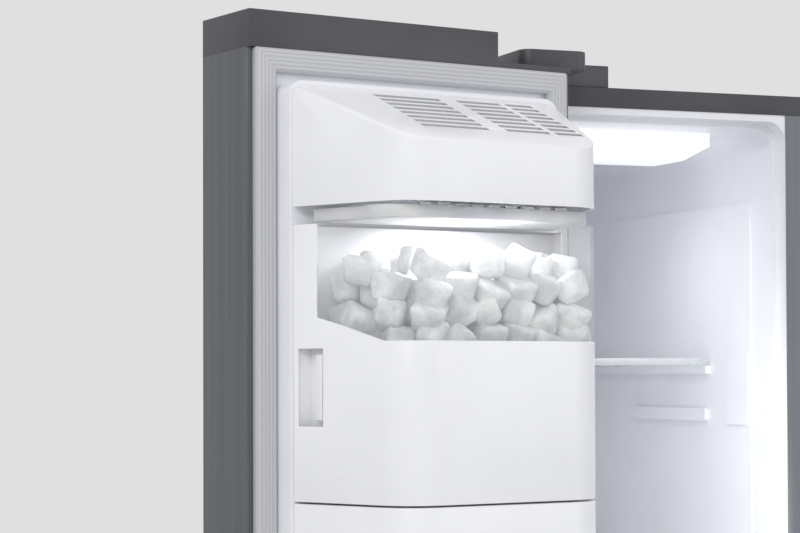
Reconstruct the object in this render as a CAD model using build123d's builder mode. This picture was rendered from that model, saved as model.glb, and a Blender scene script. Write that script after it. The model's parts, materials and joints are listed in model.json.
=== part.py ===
from build123d import *
from math import cos, radians, sin
import os

# Side by side refrigerator, millimetres, +Z up.
# Origin: on the floor, under the middle of the cabinet's footprint (doors not counted).
# -Y is the front, +X is to the right of a person who faces the doors.
# The freezer is the narrow left side, with the ice maker on its door.

# ---- driving dimensions -------------------------------------------------------------
cabinet_width = 912.0
cabinet_depth = 732.0            # without the doors
cabinet_height = 1743.0
freezer_door_width = 404.0
door_thickness = 97.0            # steel part of the door, without its gasket
door_gap = 14.0                  # from the cabinet's front to the door's steel edge
door_split_gap = 4.0             # between the two closed doors
door_bottom = 70.0               # underside of the doors
cap_height = 38.0                # plastic cap on top of each door
cap_rise = 37.0                  # how far the caps stand above the cabinet
sheet = 1.5                      # steel sheet
liner_wall = 3.0                 # vacuum-formed plastic
clearance = 0.5                  # between pieces that slide or close on each other
side_wall = 40.0                 # outside of the cabinet to the inside of a liner
mullion_left = 376.0             # inside of the freezer liner, from the cabinet's left side
mullion_wall = 60.0              # freezer liner to fridge liner
mullion_strip_width = 48.0
ceiling_drop = 37.0              # cabinet top to the liner's ceiling
mouth_depth = 22.0               # the liner is wider here, to take the door's inner wall
mouth_step = 6.0
mouth_rise = 6.0
top_strip_height = 23.0
cavity_floor = 130.0
machine_room_height = 290.0
machine_room_depth = 230.0
freezer_back_wall = 62.0
base_level = 46.0                # top of the base plate
gasket_width = 24.0
gasket_inset = 7.0
freezer_open_angle = 168.3       # both doors stand open in the rest pose
fridge_open_angle = 120.0
hinge_inset = 20.0               # hinge pin from the cabinet's side
hinge_forward = 59.0             # hinge pin in front of the cabinet
pin_radius = 5.0
pin_play = 0.05
# ice maker on the freezer door, measured from the door's steel edge into the cabinet
housing_depth = 177.0
liner_face = 32.0
bucket_bottom = 1286.0
bucket_height = 276.0
tray_gap = 18.0                  # between the bucket's rim and the cover
fascia_height = 60.0
cover_rise = 63.0                # from the top of the cover's fascia to its back edge
lower_panel_height = 136.0

# ---- values worked out from them ------------------------------------------------------
left = -cabinet_width / 2
right = cabinet_width / 2
front = -cabinet_depth / 2
back = cabinet_depth / 2
door_back = front - door_gap
door_top = cabinet_height + cap_rise
skin_top = door_top - cap_height
fridge_door_left = left + freezer_door_width + door_split_gap
pin_y = front - hinge_forward
freezer_pin_x = left + hinge_inset
fridge_pin_x = right - hinge_inset
freezer_low_x = left + side_wall
freezer_high_x = left + mullion_left
fridge_low_x = freezer_high_x + mullion_wall
fridge_high_x = right - side_wall
ceiling = cabinet_height - ceiling_drop
step_y = back - machine_room_depth - 20
machine_front = back - machine_room_depth
freezer_back = back - freezer_back_wall

os.makedirs("parts", exist_ok=True)


def save(shape, name):
    """Write one sub-part under its node's name."""
    shape.label = name
    export_step(shape, f"parts/{name}.step")


def swing_freezer(shape):
    """Turn a piece modelled on the closed freezer door to its open rest place."""
    return shape.rotate(Axis((freezer_pin_x, pin_y, 0), (0, 0, 1)), -freezer_open_angle)


def swing_fridge(shape):
    """Turn a piece modelled on the closed fridge door to its open rest place."""
    return shape.rotate(Axis((fridge_pin_x, pin_y, 0), (0, 0, 1)), fridge_open_angle)


def block(low, high, mode=Mode.ADD):
    """A box between two corners, in the current part."""
    size = [b - a for a, b in zip(low, high)]
    with Locations(tuple((a + b) / 2 for a, b in zip(low, high))):
        Box(*size, mode=mode)


def rounded_block(low, high, radius, mode=Mode.ADD):
    """A box between two corners, rounded along its depth (Y)."""
    with BuildSketch(Plane.XZ.offset(-low[1])) as outline:
        with Locations(((low[0] + high[0]) / 2, (low[2] + high[2]) / 2)):
            RectangleRounded(high[0] - low[0], high[2] - low[2], radius)
    extrude(outline.sketch, amount=-(high[1] - low[1]), mode=mode)


# ---- cabinet --------------------------------------------------------------------------
cavity_round = 24.0
flange_width = 30.0              # steel return along the cabinet's front edges
liner_flange_low = 100.0
strip_bottom = cabinet_height - top_strip_height
mullion_middle = (freezer_high_x + fridge_low_x) / 2
front_skin = 1.5                 # thickness of the strips on the front


def cavity(low_x, high_x, back_y, inset):
    """The space inside a liner, or with a negative inset the space that the liner fills."""
    step_z = machine_room_height + 20
    low_x, high_x, top = low_x + inset, high_x - inset, ceiling - inset
    rounding = cavity_round - inset
    with BuildPart() as space:
        rounded_block((low_x, front, cavity_floor + inset),
                      (high_x, step_y - inset, top), rounding)
        rounded_block((low_x, front, step_z + inset), (high_x, back_y - inset, top), rounding)
        rounded_block((low_x - mouth_step, front, cavity_floor + inset - mouth_step),
                      (high_x + mouth_step, front + mouth_depth - inset, top + mouth_rise),
                      rounding)
    return space.part


def outer_wrapper():
    """Steel sheet over the sides and top, returned along the front."""
    with BuildPart() as wrapper:
        block((left, front, base_level), (right, back - sheet, cabinet_height))
        block((left + sheet, front + sheet, base_level),
              (right - sheet, back - sheet, cabinet_height - sheet), Mode.SUBTRACT)
        block((left + flange_width, front, liner_flange_low),
              (right - flange_width, front + sheet, strip_bottom), Mode.SUBTRACT)
        edges = wrapper.edges().filter_by(Axis.Y).group_by(Axis.Z)[-1]
        outer = edges.sort_by(Axis.X)
        fillet([outer[0], outer[-1]], sheet * 2)
    return wrapper.part


save(outer_wrapper(), "outer_wrapper")

with BuildPart() as back_panel:
    block((left, back - sheet, base_level), (right, back, cabinet_height))
save(back_panel.part, "back_panel")

freezer_space = cavity(freezer_low_x, freezer_high_x, freezer_back, 0)
fridge_space = cavity(fridge_low_x, fridge_high_x, freezer_back, 0)
freezer_filled = cavity(freezer_low_x, freezer_high_x, freezer_back, -liner_wall)
fridge_filled = cavity(fridge_low_x, fridge_high_x, freezer_back, -liner_wall)

with BuildPart() as foam_body:
    block((left + sheet, front + sheet, base_level),
          (right - sheet, back - sheet, cabinet_height - sheet))
    block((left + sheet, machine_front, base_level),
          (right - sheet, back - sheet, machine_room_height), Mode.SUBTRACT)
    add(freezer_filled, mode=Mode.SUBTRACT)
    add(fridge_filled, mode=Mode.SUBTRACT)
save(foam_body.part, "foam_body")

# liners, with moulded ribs that carry the shelves
shelf_thickness = 6.0
rib_height = 10.0
rib_reach = 9.0
freezer_shelf_levels = [1423.0, 1130.0]
fridge_shelf_levels = [1360.0, 1010.0]
drawer_height = 190.0
drawer_side_gap = 12.0
runner_reach = drawer_side_gap + 8
drawer_bottom = machine_room_height + 26
drawer_front = front + 190
freezer_shelf_front = front + 171.0
fridge_shelf_front = front + 230.0
shelf_back = freezer_back - 45.0


def liner(filled, space, low_x, high_x, levels, rib_front, flange_low_x, flange_high_x, pads):
    """Vacuum-formed liner with a front flange and a pair of ribs under each shelf."""
    with BuildPart() as shell:
        block((flange_low_x, front, liner_flange_low), (flange_high_x, front + sheet, strip_bottom))
        add(filled)
        add(space, mode=Mode.SUBTRACT)
        ribs = [(level, rib_reach, shelf_back) for level in levels]
        ribs.append((drawer_bottom, runner_reach, step_y - 1))
        for level, reach, rib_end in ribs:
            top = level - clearance
            block((low_x - 1, rib_front, top - rib_height), (low_x + reach, rib_end, top))
            block((high_x - reach, rib_front, top - rib_height), (high_x + 1, rib_end, top))
        for low, high, rise in pads:
            add(pad(low, high, rise))
    return shell.part


# low pads moulded on the freezer's right wall: a panel, and under the upper shelf a block and rails
panel_rise = 1.5
block_rise = 4.5
rail_rise = 7.5
wall_pads = [((72, 560), (441, 1622), panel_rise),
             ((74, 1350), (128, 1439), block_rise),
             ((176, 1353), (367, 1369), rail_rise)]
pad_round = 7.0


def pad(low, high, rise):
    """Raised pad on the freezer's right wall, between two (depth, height) corners."""
    with BuildPart() as raised:
        with BuildSketch(Plane.YZ.offset(freezer_high_x - rise)):
            with Locations((front + (low[0] + high[0]) / 2, (low[1] + high[1]) / 2)):
                RectangleRounded(high[0] - low[0], high[1] - low[1], pad_round)
        extrude(amount=rise + 1)
    return raised.part


save(liner(freezer_filled, freezer_space, freezer_low_x, freezer_high_x, freezer_shelf_levels,
           freezer_shelf_front, left + flange_width, mullion_middle - 1, wall_pads), "freezer_liner")
save(liner(fridge_filled, fridge_space, fridge_low_x, fridge_high_x, fridge_shelf_levels,
           fridge_shelf_front, mullion_middle + 1, right - flange_width, []), "fridge_liner")

with BuildPart() as top_strip:
    block((left, front - front_skin, strip_bottom), (right, front, cabinet_height))
save(top_strip.part, "top_strip")

with BuildPart() as mullion_strip:
    block((mullion_middle - mullion_strip_width / 2, front - front_skin, cavity_floor),
          (mullion_middle + mullion_strip_width / 2, front, strip_bottom))
save(mullion_strip.part, "mullion_strip")

# interior lights, let into the ceilings
light_width = 250.0
light_front = front + 95.0
light_middle = front + 135.0
light_back = front + 225.0
light_lip = 16.0
light_drop = 30.0
light_profile = [(light_front, ceiling), (light_front, ceiling - light_lip),
                 (light_middle, ceiling - light_drop), (light_back - 10, ceiling - light_drop),
                 (light_back, ceiling)]
with BuildPart() as lights:
    for middle in ((freezer_low_x + freezer_high_x) / 2, (fridge_low_x + fridge_high_x) / 2):
        with BuildSketch(Plane.YZ.offset(middle - light_width / 2)):
            with BuildLine():
                Polyline(*light_profile, close=True)
            make_face()
        extrude(amount=light_width)
    end_edges = [edge for edge in lights.edges().filter_by(Axis.Y)
                 if edge.center().Z < ceiling - light_drop + 1]
    chamfer(end_edges, light_drop / 2)
save(lights.part, "light_lenses")

# air ducts at the back of each compartment
duct_front = freezer_back - 40.0
with BuildPart() as freezer_duct:
    rounded_block((freezer_low_x + 2, duct_front, machine_room_height + 22),
                  (freezer_high_x - 2, duct_front + 3, ceiling - 2), cavity_round - 2)
    with BuildSketch(Plane.XZ.offset(-duct_front)):
        with Locations(((freezer_low_x + freezer_high_x) / 2, 1030)):
            with GridLocations(34, 370, 5, 4):
                SlotOverall(26, 8)
    extrude(amount=-4, mode=Mode.SUBTRACT)
save(freezer_duct.part, "freezer_duct_cover")

with BuildPart() as fridge_duct:
    middle = (fridge_low_x + fridge_high_x) / 2
    block((middle - 90, freezer_back - 24, machine_room_height + 90),
          (middle + 90, freezer_back - clearance, ceiling - 60))
    vertical = fridge_duct.edges().filter_by(Axis.Z).group_by(Axis.Y)[0]
    chamfer(vertical, 10)
save(fridge_duct.part, "fridge_duct_cover")

# evaporator: a serpentine tube through plate fins
tube_radius = 4.0
with BuildPart() as evaporator:
    coil_y = (duct_front + freezer_back) / 2 + 1.5
    coil_low, coil_high = freezer_low_x + 50, freezer_high_x - 50
    for row in range(6):
        level = machine_room_height + 90 + row * 34
        with BuildSketch(Plane.YZ.offset(coil_low)):
            with Locations((coil_y, level)):
                Circle(tube_radius)
        extrude(amount=coil_high - coil_low)
    for fin in range(13):
        x = coil_low + 6 + fin * (coil_high - coil_low - 14) / 12
        block((x, coil_y - 14, machine_room_height + 75),
              (x + 1.5, coil_y + 14, machine_room_height + 275))
save(evaporator.part, "evaporator")

# ---- base, machine room and feet ------------------------------------------------------
plate = 3.0
foot_x = cabinet_width / 2 - 70
foot_y = cabinet_depth / 2 - 60
foot_radius = 19.0
stem_radius = 6.0
roller_radius = 20.0
roller_width = 24.0
axle_radius = 4.0
roller_axis_z = roller_radius

with BuildPart() as base_plate:
    block((left + sheet, front + 20, base_level - plate), (right - sheet, back - sheet, base_level))
    for side in (-1, 1):
        with Locations((side * foot_x, -foot_y, base_level - plate / 2)):
            Cylinder(stem_radius + clearance, plate * 2, mode=Mode.SUBTRACT)
        for ear in (-1, 1):
            ear_x = side * foot_x + ear * (roller_width / 2 + 3)
            block((ear_x - 1.5, foot_y - 14, roller_axis_z - 8), (ear_x + 1.5, foot_y + 14, base_level))
        with Locations(Location((side * foot_x, foot_y, roller_axis_z), (0, 90, 0))):
            Cylinder(axle_radius, roller_width + 14)
save(base_plate.part, "base_plate")

with BuildPart() as levelling_legs:
    for side in (-1, 1):
        with BuildSketch(Plane.XY):
            with Locations((side * foot_x, -foot_y)):
                RegularPolygon(foot_radius, 12)
        extrude(amount=12)
        with Locations((side * foot_x, -foot_y, base_level / 2)):
            Cylinder(stem_radius, base_level - 2)
    chamfer(levelling_legs.edges().group_by(Axis.Z)[0], 1)
save(levelling_legs.part, "levelling_legs")

with BuildPart() as rear_rollers:
    for side in (-1, 1):
        with BuildSketch(Plane.YZ.offset(side * foot_x - roller_width / 2)):
            with Locations((foot_y, roller_axis_z)):
                Circle(roller_radius)
                Circle(axle_radius + pin_play, mode=Mode.SUBTRACT)
        extrude(amount=roller_width)
save(rear_rollers.part, "rear_rollers")

with BuildPart() as toe_grille:
    block((left + 6, front - 8, 12), (right - 6, front, door_bottom - 8))
    with BuildSketch(Plane.XZ.offset(-front)):
        with Locations((0, 38)):
            with GridLocations(21, 24, 41, 1):
                Rectangle(14, 24)
    extrude(amount=8, mode=Mode.SUBTRACT)
save(toe_grille.part, "toe_grille")

machine_low = base_level
compressor_x = left + 190
with BuildPart() as compressor:
    with Locations((compressor_x, back - 115, machine_low + 92)):
        Sphere(78)
    block((compressor_x - 200, back - 300, 0), (compressor_x + 200, back, machine_low + 18),
          Mode.SUBTRACT)
    block((compressor_x - 95, back - 170, machine_low), (compressor_x + 95, back - 60, machine_low + 22))
save(compressor.part, "compressor")

condenser_x = right - 250
with BuildPart() as condenser:
    for row in range(5):
        for layer in range(2):
            with Locations(Location((condenser_x, back - 150 + layer * 60, machine_low + 60 + row * 32),
                                    (0, 90, 0))):
                Cylinder(4, 200)
    for fin in range(9):
        x = condenser_x - 92 + fin * 23
        block((x, back - 165, machine_low + 44), (x + 1.5, back - 75, machine_low + 204))
save(condenser.part, "condenser")

fan_x = 0.0
fan_z = machine_low + 125
fan_y = back - 130
fan_radius = 62.0


def fan(x, y, z, radius, hub_radius, depth):
    """Axial fan on an X-ward or Y-ward shaft: hub, five pitched blades and a shaft bore."""
    with BuildPart() as wheel:
        with Locations(Location((x, y, z), (90, 0, 0))):
            Cylinder(hub_radius, depth)
        for turn in range(5):
            across, up = cos(radians(72 * turn)), sin(radians(72 * turn))
            pitch = radians(28)
            blade_plane = Plane(origin=(x, y, z), x_dir=(across, 0, up),
                                z_dir=(-up * cos(pitch), sin(pitch), across * cos(pitch)))
            with BuildSketch(blade_plane.offset(-1)) as blade:
                with Locations(((hub_radius + radius) / 2 - 1, 0)):
                    Rectangle(radius - hub_radius + 2, depth * 0.9)
            extrude(blade.sketch, amount=2)
        with Locations(Location((x, y, z), (90, 0, 0))):
            Cylinder(3 + pin_play, depth * 3, mode=Mode.SUBTRACT)
    return wheel.part


def fan_motor(x, y, z, depth):
    """Motor behind a fan, with the shaft that carries it and a foot to the wall behind."""
    with BuildPart() as motor:
        with Locations(Location((x, y + depth / 2 + 18, z), (90, 0, 0))):
            Cylinder(20, 28)
        with Locations(Location((x, y + 6, z), (90, 0, 0))):
            Cylinder(3, depth + 8)
    return motor.part


save(fan(fan_x, fan_y, fan_z, fan_radius, 18, 22), "condenser_fan")
with BuildPart() as motor_bracket:
    add(fan_motor(fan_x, fan_y, fan_z, 22))
    block((fan_x - 12, fan_y + 20, machine_low), (fan_x + 12, fan_y + 38, fan_z))
save(motor_bracket.part, "condenser_fan_motor")

with BuildPart() as room_cover:
    block((left + 10, back, base_level + 6), (right - 10, back + 2, machine_room_height - 6))
    with BuildSketch(Plane.XZ.offset(-back)):
        with Locations((0, (base_level + machine_room_height) / 2)):
            with GridLocations(26, 28, 31, 6):
                Rectangle(16, 8)
    extrude(amount=-2, mode=Mode.SUBTRACT)
save(room_cover.part, "machine_room_cover")

with BuildPart() as power_inlet:
    block((left + 40, back + 2, 120), (left + 90, back + 16, 165))
    block((left + 47, back + 6, 127), (left + 83, back + 17, 158), Mode.SUBTRACT)
    for pin_shift in (-10, 0, 10):
        block((left + 64 + pin_shift - 1, back + 5, 138), (left + 64 + pin_shift + 1, back + 13, 146))
save(power_inlet.part, "power_inlet")

inlet_radius = 10.0
inlet_length = 20.0
inlet_x = right - 70
inlet_z = 170.0
with BuildPart() as water_valve:
    block((inlet_x - 22, back + 2, inlet_z - 22), (inlet_x + 22, back + 8, inlet_z + 22))
    with Locations(Location((inlet_x, back + 8 + inlet_length / 2, inlet_z), (90, 0, 0))):
        Cylinder(inlet_radius, inlet_length)
    with Locations(Location((inlet_x, back + 8 + inlet_length / 2, inlet_z), (90, 0, 0))):
        Cylinder(4, inlet_length + 8, mode=Mode.SUBTRACT)
save(water_valve.part, "water_valve")

# ---- hinges ---------------------------------------------------------------------------
pocket_depth = 32.0              # the caps are lower round the hinge, from their top
pocket_length = 98.0
pocket_floor = door_top - pocket_depth
arm_thickness = 5.0
arm_gap = 1.5
arm_half = 15.0
cover_height = 21.0
bush_depth = 26.0
arm_low = pocket_floor + arm_gap


def upper_hinge(pin_x):
    """Hinge arm on the cabinet's roof: a foot, a step, an arm and a pin that points down."""
    with BuildPart() as hinge:
        block((pin_x - arm_half, pin_y, arm_low), (pin_x + arm_half, front + 10, arm_low + arm_thickness))
        with Locations((pin_x, pin_y, arm_low + arm_thickness / 2)):
            Cylinder(arm_half, arm_thickness)
        block((pin_x - arm_half, front + 5, cabinet_height), (pin_x + arm_half, front + 10,
                                                              arm_low + arm_thickness))
        block((pin_x - arm_half, front + 5, cabinet_height),
              (pin_x + arm_half, front + 110, cabinet_height + arm_thickness))
        with Locations((pin_x, pin_y, arm_low - bush_depth / 2 + 1)):
            Cylinder(pin_radius, bush_depth)
    return hinge.part


def lower_hinge(pin_x):
    """Bracket under the door, screwed to the cabinet's front, with a pin that points up."""
    top = door_bottom - arm_gap
    with BuildPart() as hinge:
        block((pin_x - arm_half, pin_y, top - arm_thickness),
              (pin_x + arm_half, front - front_skin, top))
        with Locations((pin_x, pin_y, top - arm_thickness / 2)):
            Cylinder(arm_half, arm_thickness)
        block((pin_x - arm_half, front - 2.4, top - arm_thickness),
              (pin_x + arm_half, front, cavity_floor - 12))
        with Locations((pin_x, pin_y, top + bush_depth / 2 - 1)):
            Cylinder(pin_radius, bush_depth)
    return hinge.part


def hinge_cover(pin_x, side):
    """Moulded cover over an upper hinge: a low block on the roof and an arm over the pin."""
    inner = -side * 127
    outer = side * (hinge_inset - 1)
    roof_low, roof_high = sorted((pin_x + inner, pin_x + outer))
    arm_inner = -side * 62
    arm_low_x, arm_high_x = sorted((pin_x + arm_inner, pin_x + outer))
    arm_top = arm_low + cover_height
    roof_top = cabinet_height + 25
    with BuildPart() as cover:
        block((roof_low, front - 2, cabinet_height), (roof_high, front + 130, roof_top))
        block((arm_low_x, pin_y - 26, arm_low), (arm_high_x, front + 12, arm_top))
        fillet(cover.edges().filter_by(Axis.Z).group_by(Axis.Y)[0], 14)
        fillet(cover.edges().filter_by(Axis.Z).group_by(Axis.Y)[-1], 8)
        # room for the hinge arm
        block((pin_x - arm_half - 2, pin_y - arm_half - 2, arm_low - 1),
              (pin_x + arm_half + 2, front + 12, arm_low + arm_thickness + 2), Mode.SUBTRACT)
        block((pin_x - arm_half - 2, front - 3, cabinet_height - 1),
              (pin_x + arm_half + 2, front + 112, arm_low + arm_thickness + 2), Mode.SUBTRACT)
    return cover.part


with BuildPart() as hinges:
    for pin_x in (freezer_pin_x, fridge_pin_x):
        add(upper_hinge(pin_x))
        add(lower_hinge(pin_x))
save(hinges.part, "hinges")

with BuildPart() as hinge_covers:
    add(hinge_cover(freezer_pin_x, -1))
    add(hinge_cover(fridge_pin_x, 1))
save(hinge_covers.part, "hinge_covers")

# ---- doors ----------------------------------------------------------------------------
skin_return = 7.0
skin_round = 6.0
skin_bottom = door_bottom + 22
door_front = door_back - door_thickness
grip_low, grip_high = 620.0, 1080.0
grip_width = 34.0                # finger pocket in the door's front, near its free edge
grip_depth = 26.0
grip_inset = 14.0
dispenser_width = 210.0
dispenser_low, dispenser_high = 900.0, 1230.0
dispenser_depth = 68.0
door_sides = {"freezer": (left, left + freezer_door_width), "fridge": (fridge_door_left, right)}
pin_place = {"freezer": freezer_pin_x, "fridge": fridge_pin_x}
pin_side = {"freezer": -1, "fridge": 1}
dispenser_middle = left + freezer_door_width / 2
ice_block_low = 1100.0           # the liner is built out behind the ice maker, above this
ice_block_high = skin_top - gasket_width - 18
liner_inset = gasket_inset + gasket_width + 1
wall_ring = 14.0                 # raised wall round the liner
ring_round = 16.0                # its corners, inside those of the liner's mouth
hinge_side_room = 6.0            # the raised wall stands further in on the hinge's side


def wall_sides(kind):
    """Outer faces of the liner's raised wall, left and right."""
    low_x, high_x = door_sides[kind]
    if kind == "freezer":
        return low_x + liner_inset + hinge_side_room, high_x - liner_inset
    return low_x + liner_inset, high_x - liner_inset - hinge_side_room


def grip_box(kind, gap):
    """Corners of the finger pocket, set in by gap at its sides and back."""
    low_x, high_x = door_sides[kind]
    near = high_x - grip_inset - grip_width if kind == "freezer" else low_x + grip_inset
    return ((near + gap, door_front, grip_low + gap),
            (near + grip_width - gap, door_front + grip_depth - gap, grip_high - gap))


def handle_pocket(kind):
    """Moulded finger pocket let into the door's front."""
    outer, inner = grip_box(kind, 0), grip_box(kind, 2.5)
    with BuildPart() as pocket:
        rounded_block(*outer, 8)
        rounded_block((inner[0][0], door_front - 1, inner[0][2]), inner[1], 6, Mode.SUBTRACT)
    return pocket.part


def door_skin(kind):
    """Steel front and sides of a door, returned inwards along the edges."""
    low_x, high_x = door_sides[kind]
    with BuildPart() as skin:
        block((low_x, door_front, skin_bottom), (high_x, door_back, skin_top))
        block((low_x + sheet, door_front + sheet, skin_bottom - 1),
              (high_x - sheet, door_back - sheet, skin_top + 1), Mode.SUBTRACT)
        block((low_x + skin_return, door_back - 2 * sheet, skin_bottom - 1),
              (high_x - skin_return, door_back + 1, skin_top + 1), Mode.SUBTRACT)
        uprights = skin.edges().filter_by(Axis.Z).group_by(Axis.Y)
        fillet(uprights[1], skin_round - sheet)
        fillet(uprights[0], skin_round)
        if kind == "freezer":
            rounded_block((dispenser_middle - dispenser_width / 2, door_front - 1, dispenser_low),
                          (dispenser_middle + dispenser_width / 2, door_front + 10, dispenser_high),
                          12, Mode.SUBTRACT)
        grip = grip_box(kind, 0)
        rounded_block((grip[0][0], door_front - 1, grip[0][2]), (grip[1][0], door_front + 8, grip[1][2]), 8,
                      Mode.SUBTRACT)
    return skin.part


def door_foam(kind):
    """Insulation inside the door, built out behind the ice maker on the freezer's."""
    low_x, high_x = door_sides[kind]
    wall_low, wall_high = wall_sides(kind)
    with BuildPart() as foam:
        block((low_x + sheet, door_front + sheet, skin_bottom), (high_x - sheet, door_back - 4, skin_top))
        fillet(foam.edges().filter_by(Axis.Z).group_by(Axis.Y)[0], skin_round - sheet)
        if kind == "freezer":
            block((wall_low + 6, door_back - 4, ice_block_low),
                  (wall_high - 6, door_back + liner_face - liner_wall, ice_block_high))
            rounded_block((dispenser_middle - dispenser_width / 2, door_front, dispenser_low),
                          (dispenser_middle + dispenser_width / 2, door_front + dispenser_depth,
                           dispenser_high), 12, Mode.SUBTRACT)
        rounded_block(*grip_box(kind, 0), 8, Mode.SUBTRACT)
    return foam.part


def door_liner(kind, foam):
    """Inner plastic wall: a panel with a raised wall round it."""
    low_x, high_x = door_sides[kind]
    wall_low, wall_high = wall_sides(kind)
    low_z = skin_bottom + liner_inset + 4
    high_z = skin_top - liner_inset - 2
    room_top = ice_block_low - liner_wall if kind == "freezer" else high_z - wall_ring
    with BuildPart() as inner:
        block((low_x + skin_return + 1, door_back - 4, skin_bottom),
              (high_x - skin_return - 1, door_back - 1.5, skin_top))
        rounded_block((wall_low, door_back - 4, low_z), (wall_high, door_back + liner_face, high_z),
                      ring_round)
        block((wall_low + wall_ring, door_back - 1.5, low_z + wall_ring),
              (wall_high - wall_ring, door_back + liner_face + 1, room_top), Mode.SUBTRACT)
        if kind == "freezer":
            add(foam, mode=Mode.SUBTRACT)
    return inner.part


def door_gasket(kind):
    """Magnetic seal round the door's inner face."""
    low_x, high_x = door_sides[kind]
    depth = door_gap - 2.8
    with BuildPart() as seal:
        block((low_x + gasket_inset, door_back - 1.5, skin_bottom + 1),
              (high_x - gasket_inset, door_back - 1.5 + depth, skin_top))
        block((low_x + gasket_inset + gasket_width, door_back - 3, skin_bottom + gasket_width + 1),
              (high_x - gasket_inset - gasket_width, door_back + depth, skin_top - gasket_width),
              Mode.SUBTRACT)
        faces = seal.edges().group_by(Axis.Y)[-1]
        chamfer(faces, 2.5)
    return seal.part


def top_cap(kind):
    """Plastic cap on the door's top, lower round the hinge, with the bush for its pin."""
    low_x, high_x = door_sides[kind]
    if kind == "freezer":
        pocket_low, pocket_high = low_x - 1, low_x + pocket_length
    else:
        pocket_low, pocket_high = high_x - pocket_length, high_x + 1
    with BuildPart() as cap:
        block((low_x, door_front, skin_top), (high_x, door_back + 6, door_top))
        fillet(cap.edges().filter_by(Axis.Z).group_by(Axis.Y)[0], skin_round)
        block((pocket_low, door_front + 12, pocket_floor), (pocket_high, door_back + 7, door_top + 1),
              Mode.SUBTRACT)
        block((pocket_low, door_front - 1, pocket_floor + 18), (pocket_high, door_back + 7, door_top + 1),
              Mode.SUBTRACT)
        way_low, way_high = sorted((pin_place[kind] - pin_side[kind] * 42,
                                    pin_place[kind] + pin_side[kind] * 30))
        block((way_low, door_front - 1, pocket_floor),
              (way_high, door_back + 7, door_top + 1), Mode.SUBTRACT)
        with Locations((pin_place[kind], pin_y, pocket_floor - bush_depth)):
            Cylinder(pin_radius + pin_play, bush_depth * 3, mode=Mode.SUBTRACT)
    return cap.part


def bottom_cap(kind):
    """Plastic cap under the door, with the bush for the lower hinge's pin."""
    low_x, high_x = door_sides[kind]
    with BuildPart() as cap:
        block((low_x, door_front, door_bottom), (high_x, door_back, skin_bottom))
        fillet(cap.edges().filter_by(Axis.Z).group_by(Axis.Y)[0], skin_round)
        with Locations((pin_place[kind], pin_y, skin_bottom)):
            Cylinder(pin_radius + pin_play, bush_depth * 4, mode=Mode.SUBTRACT)
    return cap.part


swing = {"freezer": swing_freezer, "fridge": swing_fridge}
for kind in ("freezer", "fridge"):
    turn_out = swing[kind]
    low_x, high_x = door_sides[kind]
    foam_piece = door_foam(kind)
    liner_piece = door_liner(kind, foam_piece)
    with BuildPart() as foam_drilled:
        add(foam_piece)
        for level in (skin_bottom, skin_top):
            with Locations((pin_place[kind], pin_y, level)):
                Cylinder(pin_radius + 1.5, 2 * bush_depth + 8, mode=Mode.SUBTRACT)
    save(turn_out(door_skin(kind)), f"{kind}_door_skin")
    save(turn_out(foam_drilled.part), f"{kind}_door_foam")
    save(turn_out(liner_piece), f"{kind}_door_liner")
    save(turn_out(door_gasket(kind)), f"{kind}_door_gasket")
    save(turn_out(top_cap(kind)), f"{kind}_door_top_cap")
    save(turn_out(bottom_cap(kind)), f"{kind}_door_bottom_cap")
    save(turn_out(handle_pocket(kind)), f"{kind}_door_handle_pocket")

# ---- ice maker on the freezer door ------------------------------------------------------
housing_wall = 3.0
side_slant = 22.0 / 74.0         # how much the housing narrows for each mm of depth
housing_free_x = left + 369.0
housing_hinge_x = left + 46.0
free_round = 48.0
hinge_round = 52.0
housing_back = liner_face + clearance
bucket_top = bucket_bottom + bucket_height
cover_bottom = bucket_top + tray_gap
cover_front_top = cover_bottom + fascia_height
cover_back_top = cover_front_top + cover_rise
window_start = 62.0              # the clear window begins this far from the steel edge
window_side_low = 1469.0
window_front_low = 1445.0
slope = cover_rise / (housing_depth - housing_back)


def housing_outline(inset):
    """Plan of the ice maker's housing, set in from its outer face."""
    free_corner = housing_free_x - side_slant * (housing_depth - housing_back) - inset * 1.15
    hinge_corner = housing_hinge_x + side_slant * (housing_depth - housing_back) + inset * 1.15
    with BuildSketch() as plan:
        with BuildLine():
            Polyline((housing_free_x - inset, door_back + housing_back + inset),
                     (free_corner, door_back + housing_depth - inset),
                     (hinge_corner, door_back + housing_depth - inset),
                     (housing_hinge_x + inset, door_back + housing_back + inset),
                     close=True)
        make_face()
        free_vertex = plan.vertices().group_by(Axis.Y)[-1].sort_by(Axis.X)[-1]
        fillet(free_vertex, free_round - inset)
        hinge_vertex = plan.vertices().group_by(Axis.Y)[-1].sort_by(Axis.X)[0]
        fillet(hinge_vertex, hinge_round - inset)
    return plan.sketch


def housing_prism(inset, low_z, high_z):
    """The housing's plan between two levels."""
    with BuildPart() as prism:
        extrude(Plane.XY.offset(low_z) * housing_outline(inset), amount=high_z - low_z)
    return prism.part


def above_slope(drop):
    """Everything over the cover's sloping top, lowered by drop."""
    with BuildPart() as wedge:
        with BuildSketch(Plane.YZ.offset(left)):
            with BuildLine():
                near, far = door_back + housing_back - 40, door_back + housing_depth + 40
                Polyline((near, cover_back_top + 40 * slope - drop),
                         (far, cover_front_top - 40 * slope - drop),
                         (far, cover_back_top + 200), (near, cover_back_top + 200), close=True)
            make_face()
        extrude(amount=freezer_door_width)
    return wedge.part


vent_rows = 8

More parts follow.
